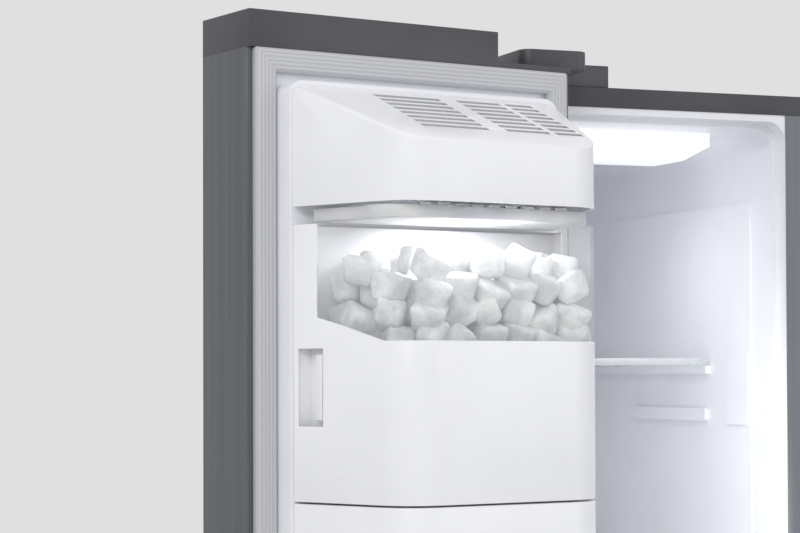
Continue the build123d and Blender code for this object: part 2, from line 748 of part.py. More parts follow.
with BuildPart() as ice_maker_cover:
    add(housing_prism(0, cover_bottom, cover_back_top + 1))
    add(above_slope(0), mode=Mode.SUBTRACT)
    sloped = ice_maker_cover.faces().sort_by(Axis.Z)[-1]
    fillet(sloped.edges().sort_by(Axis.Y)[1:], 4)
    hollow = housing_prism(housing_wall, cover_bottom - 1, cover_back_top + 1) - above_slope(housing_wall)
    add(hollow, mode=Mode.SUBTRACT)
    block((housing_hinge_x + housing_wall, door_back + housing_back - 1, cover_bottom - 1),
          (housing_free_x - housing_wall - 2, door_back + housing_back + housing_wall + 2,
           cover_back_top - 14), Mode.SUBTRACT)
    # rows of air slots through the sloping top, in three groups
    for low_x, high_x in ((204, 284), (128, 182), (86, 120)):
        for row in range(vent_rows):
            middle_y = door_back + 50 + row * 12.4
            block((left + low_x, middle_y - 2.4, cover_front_top + 4),
                  (left + high_x, middle_y + 2.4, cover_back_top), Mode.SUBTRACT)
    # the top corners follow the rounding of the cavity's ceiling
    rounded_block((freezer_low_x + 2, door_back, cover_bottom - 40),
                  (freezer_high_x - 2, door_back + housing_depth + 1, ceiling - 2),
                  cavity_round - 2, Mode.INTERSECT)
save(swing_freezer(ice_maker_cover.part), "ice_maker_cover")


def window_zone(gap):
    """Where the bucket's wall is clear: its front and side ends, above a line that dips forward."""
    with BuildPart() as zone:
        with BuildSketch(Plane.YZ.offset(left)):
            with BuildLine():
                Polyline((door_back + window_start + gap, bucket_top + 2),
                         (door_back + window_start + gap, window_side_low + gap),
                         (door_back + 100, (window_side_low + window_front_low) / 2 + 2 + gap),
                         (door_back + 145, window_front_low + gap),
                         (door_back + housing_depth + 5, window_front_low + gap),
                         (door_back + housing_depth + 5, bucket_top + 2), close=True)
            make_face()
        extrude(amount=freezer_door_width)
    return zone.part


bucket_shell = (housing_prism(0, bucket_bottom, bucket_top)
                - housing_prism(housing_wall, bucket_bottom + housing_wall, bucket_top + 1))
latch_low = (left + 350.0, door_back + 38, 1361.0)
latch_high = (left + 372.0, door_back + 70, 1438.0)
outlet_x = left + 120
outlet_y = door_back + 75
outlet_half = 32.0
auger_z = bucket_bottom + 44
auger_y = door_back + 98
auger_radius = 24.0
auger_rod = 4.0
auger_low = left + 76
auger_high = left + 338
auger_length = auger_high - auger_low
auger_end_play = 1.5
auger_middle = Location(((auger_low + auger_high) / 2, auger_y, auger_z), (0, 90, 0))
boss_reach = 10.0
boss_radius = 9.0
with BuildPart() as boss_rod:
    with Locations(auger_middle):
        Cylinder(boss_radius, freezer_door_width)
    with Locations(auger_middle):
        Cylinder(boss_radius + 1, auger_length - 2 * boss_reach, mode=Mode.SUBTRACT)
auger_bosses = boss_rod.part & housing_prism(1, bucket_bottom, bucket_top)

with BuildPart() as ice_bucket:
    add(bucket_shell)
    add(window_zone(0), mode=Mode.SUBTRACT)
    block(latch_low, latch_high, Mode.SUBTRACT)
    # a pocket closes the latch's recess inside
    block((latch_low[0] - 3, latch_low[1] - 3, latch_low[2] - 3),
          (latch_low[0], latch_high[1] + 3, latch_high[2] + 3))
    # outlet for the ice, and blind bearing bosses for the auger
    block((outlet_x - outlet_half, outlet_y - outlet_half, bucket_bottom - 1),
          (outlet_x + outlet_half, outlet_y + outlet_half, bucket_bottom + 4), Mode.SUBTRACT)
    add(auger_bosses)
    with Locations(auger_middle):
        Cylinder(auger_rod + clearance, auger_length + 2 * auger_end_play, mode=Mode.SUBTRACT)
save(swing_freezer(ice_bucket.part), "ice_bucket")

with BuildPart() as bucket_window:
    add(bucket_shell & window_zone(0))
save(swing_freezer(bucket_window.part), "bucket_window")

with BuildPart() as bucket_latch:
    block((left + 352.0, door_back + 56, latch_low[2] + 6),
          (left + 357.5, door_back + 67, latch_high[2] - 6))
    fillet(bucket_latch.edges().filter_by(Axis.Z), 1.5)
save(swing_freezer(bucket_latch.part), "bucket_latch")

# the load of ice: a heap between the bucket's walls, over the auger
with BuildPart() as ice_load:
    heap_gap = 4.0
    heap_low, heap_high = auger_z + auger_radius + 8, bucket_top - 40
    extrude(Plane.XY.offset(heap_low) * housing_outline(housing_wall + heap_gap),
            amount=heap_high - heap_low)
    block((latch_low[0] - 8, latch_low[1] - 10, 0), (latch_high[0], latch_high[1] + 8, latch_high[2] + 8),
          Mode.SUBTRACT)
    chamfer(ice_load.edges().group_by(Axis.Z)[-1], 20)
save(swing_freezer(ice_load.part), "ice_load")

with BuildPart() as auger:
    with Locations(auger_middle):
        Cylinder(auger_rod, auger_length)
    for turn in range(7):
        x = auger_low + 38 + turn * 29
        vane = Plane(origin=(x, auger_y, auger_z), z_dir=(cos(radians(22)), sin(radians(22)), 0))
        with BuildSketch(vane):
            Circle(auger_radius - 2)
        extrude(amount=2)
save(swing_freezer(auger.part), "auger")

# the tray that makes the ice, on an axle along its length, and its drive
tray_axis_y = door_back + 100
tray_axis_z = cover_bottom + 32
tray_half = 40.0
tray_low_x, tray_high_x = left + 128, left + 300
tray_rows, tray_columns = 2, 5
with BuildPart() as ice_tray:
    block((tray_low_x, tray_axis_y - tray_half, tray_axis_z - 22),
          (tray_high_x, tray_axis_y + tray_half, tray_axis_z + 6))
    fillet(ice_tray.edges().filter_by(Axis.X).group_by(Axis.Z)[0], 12)
    for row in range(tray_rows):
        for column in range(tray_columns):
            x = tray_low_x + 4 + column * 33.2
            y = tray_axis_y - tray_half + 4 + row * 37
            block((x, y, tray_axis_z - 16), (x + 31, y + 35, tray_axis_z + 7), Mode.SUBTRACT)
    with Locations(Location((tray_low_x - 7, tray_axis_y, tray_axis_z - 2), (0, 90, 0))):
        Cylinder(4, 18)
    with Locations(Location((tray_high_x + 5, tray_axis_y, tray_axis_z - 2), (0, 90, 0))):
        Cylinder(4, 14)
save(swing_freezer(ice_tray.part), "ice_tray")

with BuildPart() as ice_maker_drive:
    block((left + 84, door_back + housing_back, tray_axis_z - 24),
          (left + 120, door_back + 146, tray_axis_z + 22))
    block((left + 306, door_back + housing_back, tray_axis_z - 20),
          (left + 311, door_back + 122, tray_axis_z + 20))
    block((left + 84, door_back + housing_back, tray_axis_z - 20),
          (left + 311, door_back + housing_back + 4, tray_axis_z + 20))
    with Locations(Location((left + 200, tray_axis_y, tray_axis_z - 2), (0, 90, 0))):
        Cylinder(4 + pin_play, 240, mode=Mode.SUBTRACT)
save(swing_freezer(ice_maker_drive.part), "ice_maker_drive")

# white panel under the bucket, with the chute that leads ice into the door
with BuildPart() as lower_panel:
    panel_low = bucket_bottom - 2 - lower_panel_height
    add(housing_prism(0, panel_low, bucket_bottom - 2))
    add(housing_prism(housing_wall, panel_low - 1, bucket_bottom - 2 - housing_wall), mode=Mode.SUBTRACT)
    block((outlet_x - outlet_half, outlet_y - outlet_half, panel_low - 1),
          (outlet_x + outlet_half, outlet_y + outlet_half, bucket_bottom), Mode.SUBTRACT)
save(swing_freezer(lower_panel.part), "lower_panel")

# ---- dispenser on the freezer door's front ----------------------------------------------
recess_low_x = dispenser_middle - dispenser_width / 2
recess_high_x = dispenser_middle + dispenser_width / 2
with BuildPart() as dispenser_housing:
    rounded_block((recess_low_x, door_front, dispenser_low), (recess_high_x, door_front + dispenser_depth,
                                                              dispenser_high), 12)
    rounded_block((recess_low_x + 4, door_front - 1, dispenser_low + 4),
                  (recess_high_x - 4, door_front + dispenser_depth - 4, dispenser_high - 84), 9,
                  Mode.SUBTRACT)
    # nozzle block over the recess
    block((dispenser_middle - 30, door_front + 20, dispenser_high - 110),
          (dispenser_middle + 30, door_front + dispenser_depth - 2, dispenser_high - 80))
    with Locations((dispenser_middle, door_front + 42, dispenser_high - 96)):
        Cylinder(14, 40, mode=Mode.SUBTRACT)
    # bearing holes for the lever
    for ear in (-1, 1):
        block((dispenser_middle + ear * 26 - 2, door_front + 40, dispenser_high - 128),
              (dispenser_middle + ear * 26 + 2, door_front + dispenser_depth - 2, dispenser_high - 108))
    lever_y = door_front + 46
    lever_z = dispenser_high - 119
    with Locations(Location((dispenser_middle, lever_y, lever_z), (0, 90, 0))):
        Cylinder(3 + pin_play, 60, mode=Mode.SUBTRACT)
save(swing_freezer(dispenser_housing.part), "dispenser_housing")

with BuildPart() as dispenser_lever:
    block((dispenser_middle - 18, lever_y - 5, lever_z - 96),
          (dispenser_middle + 18, lever_y - 1, lever_z + 2))
    block((dispenser_middle - 20, lever_y - 4, lever_z - 5),
          (dispenser_middle + 20, lever_y + 4, lever_z + 5))
    with Locations(Location((dispenser_middle, lever_y, lever_z), (0, 90, 0))):
        Cylinder(3, 55)
save(swing_freezer(dispenser_lever.part), "dispenser_lever")

with BuildPart() as drip_tray:
    block((recess_low_x + 14, door_front + 2, dispenser_low + 4.5),
          (recess_high_x - 14, door_front + dispenser_depth - 8, dispenser_low + 16))
    with BuildSketch(Plane.XY.offset(dispenser_low + 16)):
        with Locations((dispenser_middle, door_front + dispenser_depth / 2 - 3)):
            with GridLocations(15, 50, 11, 1):
                Rectangle(8, 44)
    extrude(amount=-9, mode=Mode.SUBTRACT)
save(swing_freezer(drip_tray.part), "drip_tray")

# ---- bins, shelves and drawers -----------------------------------------------------------


def door_bin(kind, low_z, height, reach, rounding):
    """Bin that hangs between the walls of a door's liner, open on top."""
    wall_low, wall_high = wall_sides(kind)
    bin_low, bin_high = wall_low + wall_ring + 1, wall_high - wall_ring - 1
    with BuildPart() as bin_shell:
        block((bin_low, door_back + 1, low_z), (bin_high, door_back + reach, low_z + height))
        fillet(bin_shell.edges().filter_by(Axis.Z).group_by(Axis.Y)[-1], rounding)
        with BuildSketch(Plane.XY.offset(low_z + liner_wall)) as hollow_plan:
            with Locations(((bin_low + bin_high) / 2, door_back + (1 + reach) / 2)):
                RectangleRounded(bin_high - bin_low - 2 * liner_wall, reach - 1 - 2 * liner_wall,
                                 rounding - liner_wall)
        extrude(hollow_plan.sketch, amount=height, mode=Mode.SUBTRACT)
    return bin_shell.part


bin_height = 110.0
bin_levels = {"freezer": [180.0, 560.0], "fridge": [500.0, 1100.0]}
bin_shape = {"freezer": (108.0, 40.0), "fridge": (125.0, 22.0)}     # reach, rounding of the corners
for kind in ("freezer", "fridge"):
    for number, level in enumerate(bin_levels[kind], 1):
        hung = door_bin(kind, level, bin_height, *bin_shape[kind])
        save(swing[kind](hung), f"{kind}_door_bin_{number}")


def shelf(low_x, high_x, shelf_front, top, frame_width):
    """Glass plate shelf with a moulded front edge that hangs over the ribs' ends."""
    with BuildPart() as plate_shelf:
        block((low_x + clearance, shelf_front, top - shelf_thickness + clearance),
              (high_x - clearance, shelf_back, top + 1))
        block((low_x + clearance + 2, shelf_front - 3, top - shelf_thickness + clearance),
              (high_x - clearance - 2, shelf_front + frame_width, top + 4))
        fillet(plate_shelf.edges().filter_by(Axis.X).group_by(Axis.Y)[0], 2)
    return plate_shelf.part


for number, level in enumerate(freezer_shelf_levels, 1):
    plate = shelf(freezer_low_x, freezer_high_x - block_rise - 0.5, freezer_shelf_front,
                  level + shelf_thickness - 1, 14)
    save(plate, f"freezer_shelf_{number}")
for number, level in enumerate(fridge_shelf_levels, 1):
    plate = shelf(fridge_low_x, fridge_high_x, fridge_shelf_front, level + shelf_thickness - 1, 14)
    save(plate, f"fridge_shelf_{number}")



def drawer(low_x, high_x):
    """Open-topped drawer with a thick front and a finger slot under its top edge."""
    with BuildPart() as box:
        block((low_x + drawer_side_gap, drawer_front, drawer_bottom),
              (high_x - drawer_side_gap, shelf_back - 10, drawer_bottom + drawer_height))
        block((low_x + drawer_side_gap + 3, drawer_front + 14, drawer_bottom + 3),
              (high_x - drawer_side_gap - 3, shelf_back - 13, drawer_bottom + drawer_height + 1),
              Mode.SUBTRACT)
        middle = (low_x + high_x) / 2
        block((middle - 60, drawer_front - 1, drawer_bottom + drawer_height - 34),
              (middle + 60, drawer_front + 9, drawer_bottom + drawer_height - 12), Mode.SUBTRACT)
    return box.part


save(drawer(freezer_low_x, freezer_high_x), "freezer_drawer")
save(drawer(fridge_low_x, fridge_high_x), "crisper_drawer")
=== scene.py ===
import json
import math
import random
import bpy
from mathutils import Matrix, Vector


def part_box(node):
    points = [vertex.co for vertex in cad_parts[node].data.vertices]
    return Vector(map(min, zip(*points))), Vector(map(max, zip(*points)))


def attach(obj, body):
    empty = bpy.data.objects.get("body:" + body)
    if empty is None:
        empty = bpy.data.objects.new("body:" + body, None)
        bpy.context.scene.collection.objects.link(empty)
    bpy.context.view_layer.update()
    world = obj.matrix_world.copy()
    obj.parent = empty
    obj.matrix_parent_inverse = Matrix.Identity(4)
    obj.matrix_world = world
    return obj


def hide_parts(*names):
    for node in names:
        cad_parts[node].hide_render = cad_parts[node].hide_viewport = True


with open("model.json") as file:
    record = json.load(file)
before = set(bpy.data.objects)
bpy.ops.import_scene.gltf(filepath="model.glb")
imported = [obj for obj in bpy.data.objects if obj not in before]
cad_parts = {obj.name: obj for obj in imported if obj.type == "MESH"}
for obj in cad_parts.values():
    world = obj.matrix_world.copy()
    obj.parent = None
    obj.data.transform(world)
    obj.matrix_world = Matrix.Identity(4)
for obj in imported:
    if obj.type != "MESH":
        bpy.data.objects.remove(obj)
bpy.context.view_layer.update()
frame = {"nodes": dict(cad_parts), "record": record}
mm = 0.001
random.seed(7)


def linear(hexColour, alpha=1.0):
    # sRGB hex to linear light
    out = []
    for i in (0, 2, 4):
        c = int(hexColour[i:i + 2], 16) / 255
        out.append(c / 12.92 if c <= 0.04045 else ((c + 0.055) / 1.055) ** 2.4)
    return (*out, alpha)


def camelWord(name):
    words = name.split("_")
    return words[0] + "".join(word.capitalize() for word in words[1:])


def newMaterial(name):
    mat = bpy.data.materials.new(name)
    mat.use_nodes = True
    return mat


def addNode(mat, kind, settings=None, links=None):
    # settings: input or property name to value; links: input name to another node's output
    node = mat.node_tree.nodes.new(kind)
    for key, value in (settings or {}).items():
        if isinstance(key, int) or key in node.inputs:
            node.inputs[key].default_value = value
        else:
            setattr(node, key, value)
    for key, source in (links or {}).items():
        mat.node_tree.links.new(source, node.inputs[key])
    return node


def shader(mat):
    return mat.node_tree.nodes["Principled BSDF"]


def plug(mat, source, target):
    mat.node_tree.links.new(source, target)


def ramp(mat, source, low, high, lowColour, highColour):
    # colour band between two positions
    node = addNode(mat, "ShaderNodeValToRGB", links={"Fac": source})
    node.color_ramp.elements[0].position = low
    node.color_ramp.elements[0].color = lowColour
    node.color_ramp.elements[1].position = high
    node.color_ramp.elements[1].color = highColour
    return node


# materials

def brushedSteel(name, light, dark, grainMm=0.9):
    # stainless sheet, brushed top to bottom and smoke tinted: long thin streaks, wide soft highlight
    mat = newMaterial(name)
    coords = addNode(mat, "ShaderNodeTexCoord")
    stretch = addNode(mat, "ShaderNodeMapping", {"Scale": (1 / (grainMm * mm), 1 / (grainMm * mm), 2.2)},
                      {"Vector": coords.outputs["Object"]})
    fine = addNode(mat, "ShaderNodeTexNoise", {"Scale": 1.0, "Detail": 3.0, "Roughness": 0.65},
                   {"Vector": stretch.outputs["Vector"]})
    wide = addNode(mat, "ShaderNodeMapping", {"Scale": (70, 70, 0.7)}, {"Vector": coords.outputs["Object"]})
    cloud = addNode(mat, "ShaderNodeTexNoise", {"Scale": 1.0, "Detail": 2.0},
                    {"Vector": wide.outputs["Vector"]})
    both = addNode(mat, "ShaderNodeMath", {"operation": "MULTIPLY_ADD", 1: 0.7}, {0: fine.outputs["Fac"]})
    share = addNode(mat, "ShaderNodeMath", {"operation": "MULTIPLY", 1: 0.3}, {0: cloud.outputs["Fac"]})
    plug(mat, share.outputs[0], both.inputs[2])
    tone = ramp(mat, both.outputs[0], 0.3, 0.7, linear(dark), linear(light))
    plug(mat, tone.outputs["Color"], shader(mat).inputs["Base Color"])
    rough = addNode(mat, "ShaderNodeMapRange",
                    {"From Min": 0.3, "From Max": 0.7, "To Min": 0.34, "To Max": 0.5},
                    {"Value": both.outputs[0]})
    plug(mat, rough.outputs[0], shader(mat).inputs["Roughness"])
    bump = addNode(mat, "ShaderNodeBump", {"Strength": 0.12, "Distance": 0.0002},
                   {"Height": fine.outputs["Fac"]})
    plug(mat, bump.outputs["Normal"], shader(mat).inputs["Normal"])
    shader(mat).inputs["Metallic"].default_value = 0.85
    return mat


def mouldedPlastic(name, light, dark, roughness, grainMm=0.5, depthMm=0.02):
    # injection moulded: faint spark-eroded grain, slow waviness of tone and gloss
    mat = newMaterial(name)
    coords = addNode(mat, "ShaderNodeTexCoord")
    grain = addNode(mat, "ShaderNodeTexNoise", {"Scale": 1 / (grainMm * mm), "Detail": 2.0, "Roughness": 0.5},
                    {"Vector": coords.outputs["Object"]})
    wave = addNode(mat, "ShaderNodeTexNoise", {"Scale": 9.0, "Detail": 2.0},
                   {"Vector": coords.outputs["Object"]})
    tone = ramp(mat, wave.outputs["Fac"], 0.35, 0.65, linear(dark), linear(light))
    plug(mat, tone.outputs["Color"], shader(mat).inputs["Base Color"])
    sheenBand = 0.06
    rough = addNode(mat, "ShaderNodeMapRange",
                    {"From Min": 0.3, "From Max": 0.7, "To Min": roughness - sheenBand / 2,
                     "To Max": roughness + sheenBand / 2}, {"Value": wave.outputs["Fac"]})
    plug(mat, rough.outputs[0], shader(mat).inputs["Roughness"])
    bump = addNode(mat, "ShaderNodeBump", {"Strength": 0.25, "Distance": depthMm * mm},
                   {"Height": grain.outputs["Fac"]})
    plug(mat, bump.outputs["Normal"], shader(mat).inputs["Normal"])
    shader(mat).inputs["IOR"].default_value = 1.5
    return mat


def ridgedGasket(name, nodeName, turn, light, dark, pitchMm=4.2):
    # extruded soft PVC: fine ridges all round the door, mitred where they turn the corner, with painted shade
    # darkening the base colour in each groove
    mat = mouldedPlastic(name, light, dark, 0.5, grainMm=0.5, depthMm=0.02)
    flat = [Matrix.Rotation(-turn, 3, "Z") @ vert.co for vert in frame["nodes"][nodeName].data.vertices]
    lows = [min(point[axis] for point in flat) for axis in (0, 2)]
    highs = [max(point[axis] for point in flat) for axis in (0, 2)]
    coords = addNode(mat, "ShaderNodeTexCoord")
    spun = addNode(mat, "ShaderNodeVectorRotate", {"rotation_type": "Z_AXIS", "Angle": -turn},
                   {"Vector": coords.outputs["Object"]})
    split = addNode(mat, "ShaderNodeSeparateXYZ", links={0: spun.outputs[0]})
    reaches = []
    for channel, low, high in ((0, lows[0], highs[0]), (2, lows[1], highs[1])):
        offset = addNode(mat, "ShaderNodeMath", {"operation": "SUBTRACT", 1: (low + high) / 2},
                         {0: split.outputs[channel]})
        size = addNode(mat, "ShaderNodeMath", {"operation": "ABSOLUTE"}, {0: offset.outputs[0]})
        reaches.append(addNode(mat, "ShaderNodeMath", {"operation": "SUBTRACT", 1: (high - low) / 2},
                               {0: size.outputs[0]}))
    outer = addNode(mat, "ShaderNodeMath", {"operation": "MAXIMUM"},
                    {0: reaches[0].outputs[0], 1: reaches[1].outputs[0]})
    phase = addNode(mat, "ShaderNodeMath", {"operation": "MULTIPLY", 1: math.tau / (pitchMm * mm)},
                    {0: outer.outputs[0]})
    wave = addNode(mat, "ShaderNodeMath", {"operation": "SINE"}, {0: phase.outputs[0]})
    ridge = addNode(mat, "ShaderNodeBump", {"Strength": 0.35, "Distance": 0.0006},
                    {"Height": wave.outputs[0]})
    plug(mat, ridge.outputs["Normal"], shader(mat).inputs["Normal"])
    # painted shade: the base colour runs dark in the grooves and light on the crests, following the ridge wave
    shade = ramp(mat, wave.outputs[0], 0.0, 0.6, linear(dark), linear(light))
    plug(mat, shade.outputs["Color"], shader(mat).inputs["Base Color"])
    return mat


def clearPlastic(name, tint, alpha, roughness=0.06):
    # clear polystyrene wall: mostly see-through, its shine from the surface, faint flow marks
    mat = newMaterial(name)
    coords = addNode(mat, "ShaderNodeTexCoord")
    flow = addNode(mat, "ShaderNodeTexNoise", {"Scale": 14.0, "Detail": 1.0},
                   {"Vector": coords.outputs["Object"]})
    bump = addNode(mat, "ShaderNodeBump", {"Strength": 0.15, "Distance": 0.002},
                   {"Height": flow.outputs["Fac"]})
    plug(mat, bump.outputs["Normal"], shader(mat).inputs["Normal"])
    tone = ramp(mat, flow.outputs["Fac"], 0.3, 0.7, linear(tint), linear("FFFFFF"))
    plug(mat, tone.outputs["Color"], shader(mat).inputs["Base Color"])
    shader(mat).inputs["Roughness"].default_value = roughness
    shader(mat).inputs["IOR"].default_value = 1.49
    shader(mat).inputs["Alpha"].default_value = alpha
    return mat


def waterIce(name):
    # ice frozen in a tray: clear skin, milky core of trapped air, wet gloss
    mat = newMaterial(name)
    coords = addNode(mat, "ShaderNodeTexCoord")
    cloud = addNode(mat, "ShaderNodeTexNoise", {"Scale": 30.0, "Detail": 4.0, "Roughness": 0.6},
                    {"Vector": coords.outputs["Object"]})
    cracks = addNode(mat, "ShaderNodeTexVoronoi", {"Scale": 70.0, "feature": "DISTANCE_TO_EDGE"},
                     {"Vector": coords.outputs["Object"]})
    tone = ramp(mat, cloud.outputs["Fac"], 0.35, 0.68, linear("F1F5F9"), linear("FFFFFF"))
    plug(mat, tone.outputs["Color"], shader(mat).inputs["Base Color"])
    clear = addNode(mat, "ShaderNodeMapRange",
                    {"From Min": 0.42, "From Max": 0.62, "To Min": 0.35, "To Max": 0.03},
                    {"Value": cloud.outputs["Fac"]})
    plug(mat, clear.outputs[0], shader(mat).inputs["Transmission Weight"])
    height = addNode(mat, "ShaderNodeMath", {"operation": "MULTIPLY_ADD", 1: 0.35},
                     {0: cracks.outputs["Distance"], 2: cloud.outputs["Fac"]})
    bump = addNode(mat, "ShaderNodeBump", {"Strength": 0.5, "Distance": 0.004},
                   {"Height": height.outputs[0]})
    plug(mat, bump.outputs["Normal"], shader(mat).inputs["Normal"])
    shader(mat).inputs["Roughness"].default_value = 0.12
    shader(mat).inputs["IOR"].default_value = 1.31
    return mat


def bareMetal(name, light, dark, roughness, grainMm=2.0):
    # plain or zinc-plated sheet and tube: grey, spangled, dull shine
    mat = newMaterial(name)
    coords = addNode(mat, "ShaderNodeTexCoord")
    spangle = addNode(mat, "ShaderNodeTexVoronoi", {"Scale": 1 / (grainMm * 6 * mm)},
                      {"Vector": coords.outputs["Object"]})
    grain = addNode(mat, "ShaderNodeTexNoise", {"Scale": 1 / (grainMm * mm), "Detail": 3.0},
                    {"Vector": coords.outputs["Object"]})
    mixed = addNode(mat, "ShaderNodeMath", {"operation": "MULTIPLY_ADD", 1: 0.4},
                    {0: spangle.outputs["Distance"], 2: grain.outputs["Fac"]})
    tone = ramp(mat, mixed.outputs[0], 0.4, 0.9, linear(dark), linear(light))
    plug(mat, tone.outputs["Color"], shader(mat).inputs["Base Color"])
    bump = addNode(mat, "ShaderNodeBump", {"Strength": 0.15, "Distance": 0.0003},
                   {"Height": grain.outputs["Fac"]})
    plug(mat, bump.outputs["Normal"], shader(mat).inputs["Normal"])
    shader(mat).inputs["Metallic"].default_value = 1.0
    shader(mat).inputs["Roughness"].default_value = roughness
    return mat


smokeSteel = brushedSteel("brushedStainlessSteel", "7E8186", "5A5D62")
stripSteel = brushedSteel("brushedStainlessStrip", "8A8D93", "72757B")
darkTrim = mouldedPlastic("mouldedDarkAbs", "4C4D52", "424348", 0.42, grainMm=0.7, depthMm=0.03)
cabinetPaint = mouldedPlastic("texturedPowderPaint", "55575A", "4C4E51", 0.5, grainMm=1.6, depthMm=0.12)
whiteAbs = mouldedPlastic("mouldedWhiteAbs", "F7F8FC", "F3F4F9", 0.3, grainMm=0.8, depthMm=0.01)
linerPlastic = mouldedPlastic("vacuumFormedPolystyrene", "F1F2F7", "ECEDF3", 0.34, grainMm=1.2, depthMm=0.02)
# painted shade: a grey copy of the white cover plastic, laid on the vent slots' inner walls to stand for the
# shade inside them
ventPaintedShade = mouldedPlastic("shadedWhiteAbs", "B9BAC0", "AEAFB5", 0.5)
opalLens = mouldedPlastic("opalAcrylic", "FFFFFF", "FAFBFF", 0.2)
shader(opalLens).inputs["Emission Color"].default_value = linear("F8FAFF")
shader(opalLens).inputs["Emission Strength"].default_value = 0.45
gasketPvc = mouldedPlastic("extrudedSoftPvc", "BFC0C4", "B3B4B9", 0.55, grainMm=0.5, depthMm=0.03)
blackAbs = mouldedPlastic("mouldedBlackAbs", "17181A", "101113", 0.32)
rubber = mouldedPlastic("mouldedRubber", "1E1F20", "161718", 0.7, grainMm=0.6, depthMm=0.06)
foamSkin = mouldedPlastic("polyurethaneFoam", "E8DDB4", "D9CC9C", 0.85, grainMm=2.5, depthMm=0.4)
windowPlastic = clearPlastic("clearPolystyreneWindow", "F4F7FA", 0.14)
binPlastic = clearPlastic("clearMouldedBin", "E6EDF2", 0.3, 0.1)
frostedPlastic = clearPlastic("frostedMouldedGuard", "D3D6DB", 0.62, 0.35)
shelfGlass = clearPlastic("temperedGlass", "DDEBE8", 0.3, 0.03)
ice = waterIce("frozenWater")
zincSheet = bareMetal("galvanisedSheet", "B4B7BA", "9A9DA1", 0.45)
plainAluminium = bareMetal("drawnAluminium", "C9CBCE", "B5B7BB", 0.35, grainMm=1.0)
darkPlate = bareMetal("zincPlatedSteel", "6A6C70", "55575B", 0.4, grainMm=0.8)

finishes = {
    "brushed_steel": smokeSteel, "wrapper_paint": cabinetPaint, "galvanised": zincSheet,
    "foam": foamSkin, "white_liner": linerPlastic, "white_plastic": whiteAbs, "grey_trim": darkTrim,
    "gasket": gasketPvc, "clear_plastic": binPlastic, "ice": ice, "light_cover": opalLens,
    "black_plastic": blackAbs, "metal_parts": plainAluminium, "hinge_steel": darkPlate,
    "shelf_glass": shelfGlass, "rubber_feet": rubber,
}
slotOf = {part["node"]: part["material_slot"] for part in frame["record"]["subparts"]}
for nodeName, nodeObject in frame["nodes"].items():
    nodeObject.data.materials.clear()
    nodeObject.data.materials.append(finishes[slotOf[nodeName]])
frame["nodes"]["mullion_strip"].data.materials[0] = stripSteel
frame["nodes"]["bucket_window"].data.materials[0] = windowPlastic
turnOf = {"freezer_door": 0.0, "fridge_door": 0.0}
for joint in frame["record"]["behaviour"]["joints"]:
    if joint["child"] in turnOf:
        swing = joint["range_deg"][0] if joint["child"] == "freezer_door" else -joint["range_deg"][0]
        turnOf[joint["child"]] = math.radians(swing)
for doorName, turn in turnOf.items():
    gasketNode = doorName + "_gasket"
    # the darker colour is the painted shade in the gasket ridges' grooves
    gasketFinish = ridgedGasket(camelWord(gasketNode) + "RidgedPvc", gasketNode, turn, "CDCED3", "BFC0C5")
    frame["nodes"][gasketNode].data.materials[0] = gasketFinish
print("materials ready")

# stage
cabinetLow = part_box("outer_wrapper")[0]
cabinetLeft, cabinetFront = cabinetLow[0], cabinetLow[1]
studio = {"floorSize": 14.0, "floorParts": 8, "floorColour": "DCDCDB", "floorShade": "D6D6D5",
          "sky": "E0E0E0", "skyStrength": 1.0}
# the eye's place in metres from the cabinet's left front edge, its turns in degrees, its lens in mm
camera = {"right": -1.0293, "forward": -2.3564, "height": 1.411, "yaw": 21.2736, "pitch": 1.3425,
          "roll": -0.1831, "lens": 102.331, "sensor": 36.0, "shift": 0.0700}
# each soft light's place and the point it shines at, its width in metres and its power
lights = {
    "keyLight": ((-2.6, -3.6, 3.4), (-0.5, -0.6, 1.4), 2.2, 40),
    "fillLight": ((2.8, -3.4, 2.2), (0.0, -0.4, 1.2), 2.0, 14),
    "backLight": ((0.5, 3.2, 3.0), (0.0, 0.0, 1.0), 2.0, 12),
}


def buildStage():
    bpy.ops.object.select_all(action="DESELECT")
    bpy.ops.mesh.primitive_grid_add(x_subdivisions=studio["floorParts"], y_subdivisions=studio["floorParts"],
                                    size=studio["floorSize"], location=(0, 0, 0))
    floor = bpy.context.object
    floor.name = "studioFloor"
    paint = mouldedPlastic("paintedFloor", studio["floorColour"], studio["floorShade"], 0.8, grainMm=3.0)
    floor.data.materials.append(paint)
    world = bpy.data.worlds.new("studioSky")
    bpy.context.scene.world = world
    world.use_nodes = True
    world.node_tree.nodes["Background"].inputs["Color"].default_value = linear(studio["sky"])
    world.node_tree.nodes["Background"].inputs["Strength"].default_value = studio["skyStrength"]
    bpy.context.scene.view_settings.view_transform = "Standard"


def addLight(name, place, target, size, power):
    data = bpy.data.lights.new(name, "AREA")
    data.shape = "DISK"
    data.size = size
    data.energy = power
    light = bpy.data.objects.new(name, data)
    light.location = place
    light.rotation_euler = (Vector(target) - Vector(place)).to_track_quat("-Z", "Y").to_euler()
    bpy.context.collection.objects.link(light)
    light.visible_camera = False
    return light


def placeCamera():
    data = bpy.data.cameras.new("studioCamera")
    data.lens = camera["lens"]
    data.sensor_width = camera["sensor"]
    data.shift_y = camera["shift"]
    holder = bpy.data.objects.new("studioCamera", data)
    holder.location = (cabinetLeft + camera["right"], cabinetFront + camera["forward"], camera["height"])
    turn = (Matrix.Rotation(math.radians(-camera["yaw"]), 4, "Z")
            @ Matrix.Rotation(math.radians(90 + camera["pitch"]), 4, "X")
            @ Matrix.Rotation(math.radians(camera["roll"]), 4, "Z"))
    holder.rotation_euler = turn.to_euler()
    bpy.context.collection.objects.link(holder)
    bpy.context.scene.camera = holder


buildStage()
placeCamera()
for lightName, (place, target, size, power) in lights.items():
    addLight(lightName, place, target, size, power)

